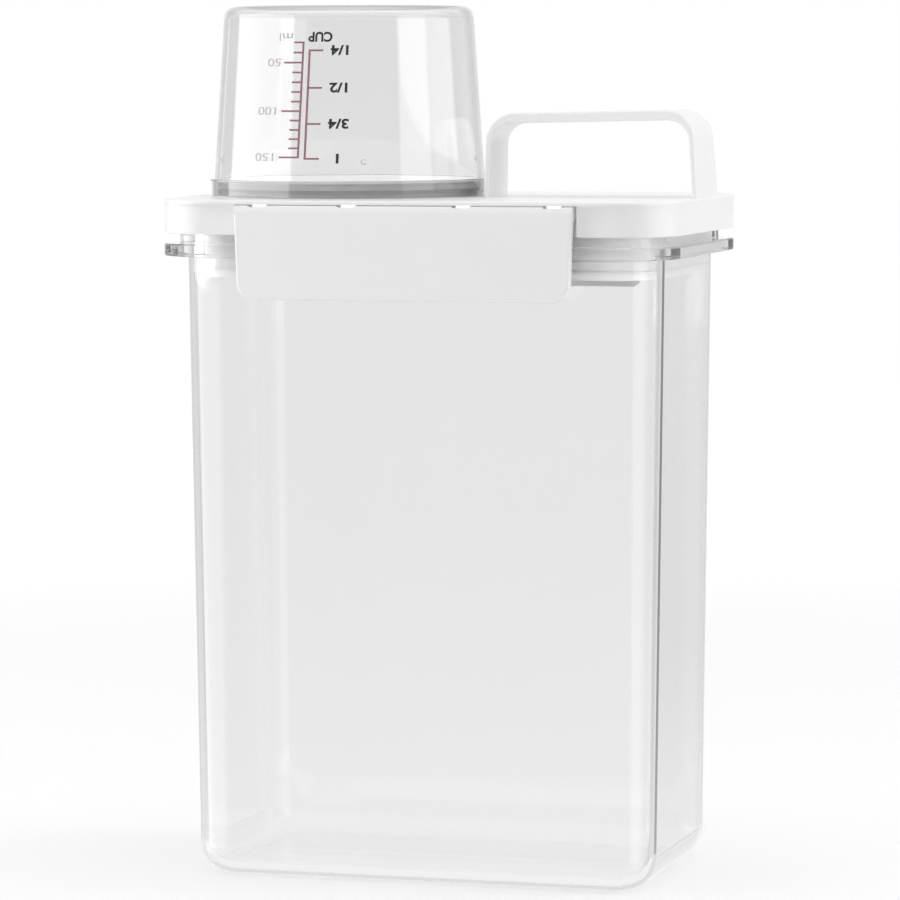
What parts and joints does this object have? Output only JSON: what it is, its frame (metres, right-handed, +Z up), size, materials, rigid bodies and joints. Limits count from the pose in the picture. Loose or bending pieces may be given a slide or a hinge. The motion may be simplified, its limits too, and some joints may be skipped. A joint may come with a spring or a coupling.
{
  "type": "laundry powder container",
  "caption": "Clear drafted storage bin with a white latching lid, a carrying handle and a pouring spout closed by an upturned measuring cup.",
  "frame": {"origin": "middle of the base, on the surface it stands on", "axes": "+Z up, front latch towards -Y, measuring cup towards -X and handle towards +X"},
  "size_m": [0.145, 0.097, 0.2379],
  "materials": {
    "clear_plastic": "clear, polished",
    "cup_plastic": "clear, polished, printed scale",
    "white_plastic": "white, fine satin gloss",
    "latch_plastic": "white, fine satin gloss",
    "silicone": "translucent grey silicone"
  },
  "bodies": {
    "bin": {"container": "clear_plastic", "lid": "white_plastic", "lid_seal": "silicone", "spout_seal": "silicone"},
    "front_flap": {"front_latch": "latch_plastic"},
    "back_flap": {"back_latch": "latch_plastic"},
    "cup": {"measuring_cup": "cup_plastic"}
  },
  "joints": [
    {"name": "front_latch_hinge", "type": "hinge", "parent": "bin", "child": "front_flap", "pos_m": [0, -0.04661, 0.1824], "axis": [-1, 0, 0], "range_deg": [0, 95]},
    {"name": "back_latch_hinge", "type": "hinge", "parent": "bin", "child": "back_flap", "pos_m": [0, 0.04661, 0.1824], "axis": [1, 0, 0], "range_deg": [0, 95]},
    {"name": "cup_lift", "type": "slide", "parent": "bin", "child": "cup", "axis": [0, 0, 1], "range_m": [0, 0.06]}
  ]
}
